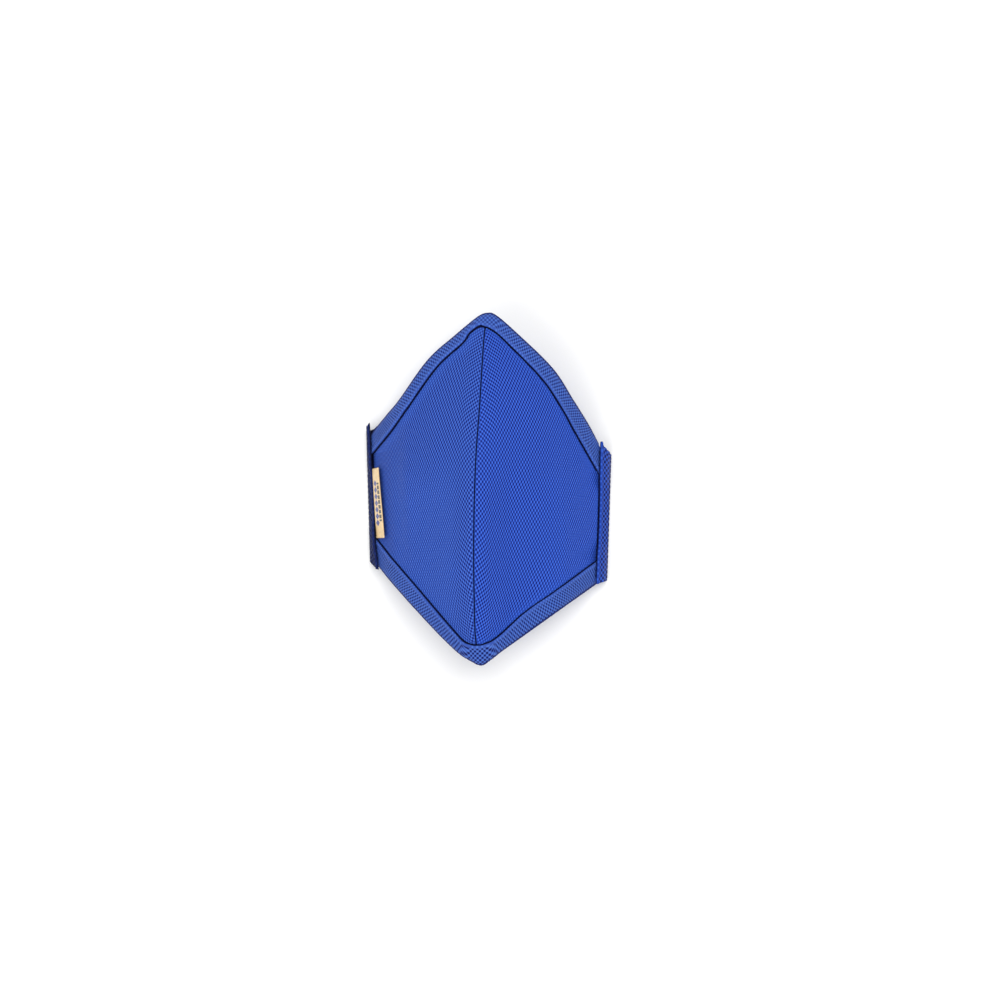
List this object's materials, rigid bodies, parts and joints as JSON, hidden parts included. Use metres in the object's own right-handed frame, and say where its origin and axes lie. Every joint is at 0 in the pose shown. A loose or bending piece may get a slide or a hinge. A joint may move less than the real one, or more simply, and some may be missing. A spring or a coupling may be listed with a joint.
{
  "type": "child respirator mask",
  "caption": "Tent-shaped child face mask of blue mesh cloth with a raised centre seam, taped nose and chin edges, open cheek casings for ear elastic and a beige side label.",
  "frame": {"origin": "middle of the outline in plan, at the ground the cheek casings rest on", "axes": "+Z out of the mask's front, +Y towards the nose edge, +X towards the casing without the label"},
  "size_m": [0.0988, 0.1338, 0.0528],
  "materials": {
    "panel_mesh": "matt knitted mesh",
    "binding_tape": "matt woven tape",
    "label_satin": "satin ribbon"
  },
  "bodies": {
    "root": {"panel_left": "panel_mesh", "panel_right": "panel_mesh", "top_binding": "binding_tape", "bottom_binding": "binding_tape", "casing_left": "binding_tape", "casing_right": "binding_tape", "label": "label_satin"}
  },
  "joints": []
}
